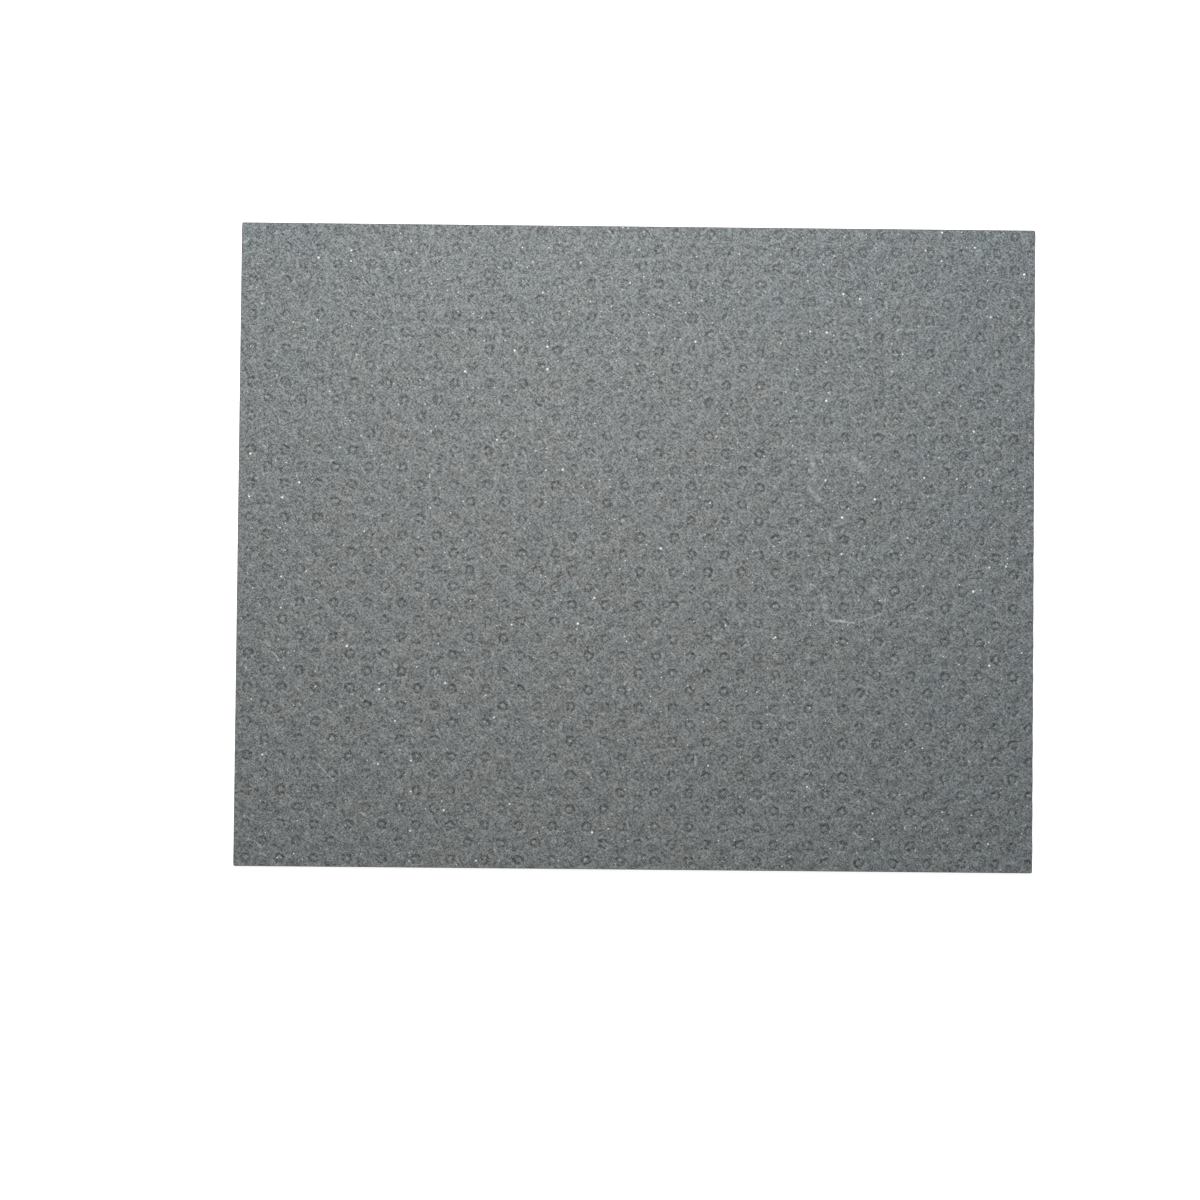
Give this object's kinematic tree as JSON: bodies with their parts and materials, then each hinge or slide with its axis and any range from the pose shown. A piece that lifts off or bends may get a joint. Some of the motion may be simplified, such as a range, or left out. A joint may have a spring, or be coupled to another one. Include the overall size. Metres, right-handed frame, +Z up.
{
  "type": "gasket sheet",
  "caption": "Flat rectangular gasket sheet, grey fibre facing rolled onto a tanged steel core, whose tangs print small rings on the face; cut to shape and clamped between flanges.",
  "frame": {"origin": "centre of the lower face, on the floor that the sheet lies on", "axes": "+X along the long side, +Y along the short side, +Z up through the thickness"},
  "size_m": [0.15, 0.1212, 0.0015],
  "materials": {
    "fibre_facing": "matte"
  },
  "bodies": {
    "root": {"gasket_sheet": "fibre_facing"}
  },
  "joints": []
}
